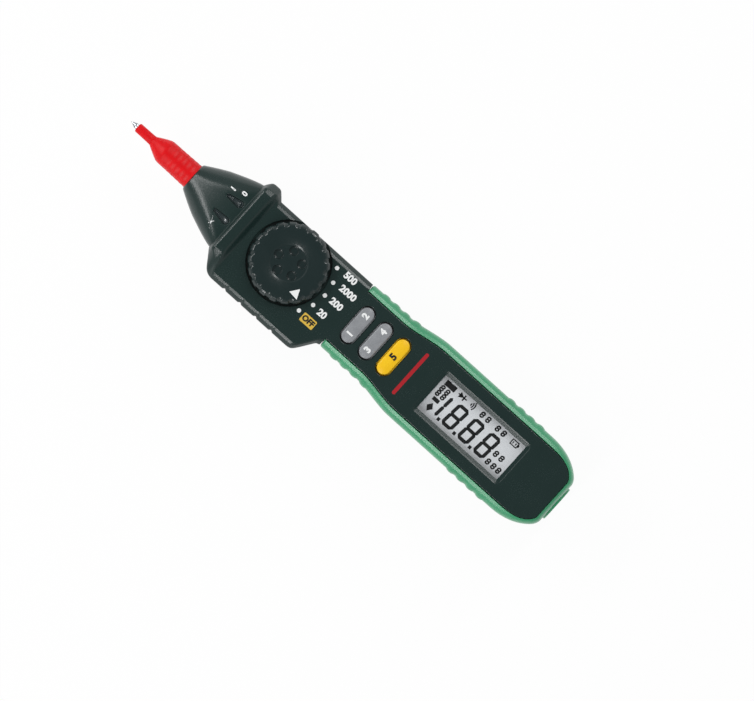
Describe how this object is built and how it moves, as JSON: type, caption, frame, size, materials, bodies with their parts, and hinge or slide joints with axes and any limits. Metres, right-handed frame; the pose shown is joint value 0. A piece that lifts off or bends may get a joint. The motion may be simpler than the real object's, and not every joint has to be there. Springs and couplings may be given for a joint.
{
  "type": "pen multimeter",
  "caption": "Pen-shaped digital multimeter with a red insulated probe nose, finger collar, rotary range dial, three face keys, display window and green rubber handle grip",
  "frame": {"origin": "On the flat resting back face of the rear case half, straight below the axis of the range dial", "axes": "+Y along the body to the probe tip, +X to the right seen from the face with the tip up, +Z out of the face"},
  "size_m": [0.0409, 0.2081, 0.029],
  "materials": {
    "case_plastic": "fine moulded texture, slightly satin",
    "dial_plastic": "fine moulded texture",
    "grip_rubber": "soft satin overmould",
    "sleeve_plastic": "glossy insulation",
    "grey_key": "satin",
    "yellow_key": "satin",
    "clear_window": "clear polished lens",
    "lamp_lens": "smoked clear lens",
    "needle_steel": "plated and polished",
    "bright_steel": "zinc plated",
    "contact_brass": "plain",
    "board_green": "solder mask on glass epoxy",
    "lcd_glass": "grey reflective display",
    "mat_rubber": "soft silicone",
    "black_plastic": "plain",
    "rotor_plastic": "natural acetal",
    "chip_parts": "plain",
    "red_lamp": "clear tinted",
    "green_lamp": "clear tinted",
    "fuse_glass": "clear tube with plated caps",
    "cell_jacket": "gloss sleeve"
  },
  "bodies": {
    "meter": {"front_case": "case_plastic", "rear_case": "case_plastic", "side_grip": "grip_rubber", "battery_cover": "case_plastic", "battery_cover_screw": "bright_steel", "case_screws": "bright_steel", "display_window": "clear_window", "probe_sleeve": "sleeve_plastic", "probe_needle": "needle_steel", "probe_contact": "contact_brass", "voltage_lamp_window": "lamp_lens", "logic_lamp_windows": "lamp_lens", "key_mat": "mat_rubber", "main_board": "board_green", "board_screws": "bright_steel", "display_panel": "lcd_glass", "display_frame": "black_plastic", "zebra_strips": "mat_rubber", "measuring_chip": "black_plastic", "board_parts": "chip_parts", "voltage_lamp": "red_lamp", "logic_lamps": "green_lamp", "sensing_plate": "contact_brass", "buzzer": "black_plastic", "fuse": "fuse_glass", "fuse_clips": "bright_steel", "battery_cells": "cell_jacket", "cell_springs": "bright_steel", "cell_plates": "bright_steel", "jack_body": "black_plastic", "com_contact": "contact_brass", "com_strap": "contact_brass"},
    "dial": {"dial_knob": "dial_plastic", "dial_rotor": "rotor_plastic", "dial_screw": "bright_steel", "detent_balls": "bright_steel", "detent_springs": "bright_steel", "wiper_contacts": "contact_brass"},
    "upper_rocker": {"upper_rocker_key": "grey_key"},
    "lower_rocker": {"lower_rocker_key": "grey_key"},
    "sense": {"sense_key": "yellow_key"}
  },
  "joints": [
    {"name": "dial_turn", "type": "hinge", "parent": "meter", "child": "dial", "pos_m": [0, 0, 0.026], "axis": [0, 0, 1], "range_deg": [0, 72]},
    {"name": "upper_rocker_tilt", "type": "hinge", "parent": "meter", "child": "upper_rocker", "pos_m": [0, -0.0337, 0.022], "axis": [0, 1, 0], "range_deg": [-4, 4], "stiffness_Nm_per_rad": 0.04},
    {"name": "lower_rocker_tilt", "type": "hinge", "parent": "meter", "child": "lower_rocker", "pos_m": [0, -0.04235, 0.022], "axis": [0, 1, 0], "range_deg": [-4, 4], "stiffness_Nm_per_rad": 0.04},
    {"name": "sense_press", "type": "slide", "parent": "meter", "child": "sense", "axis": [0, 0, -1], "range_m": [0, 0.0008], "stiffness_N_per_m": 800}
  ]
}
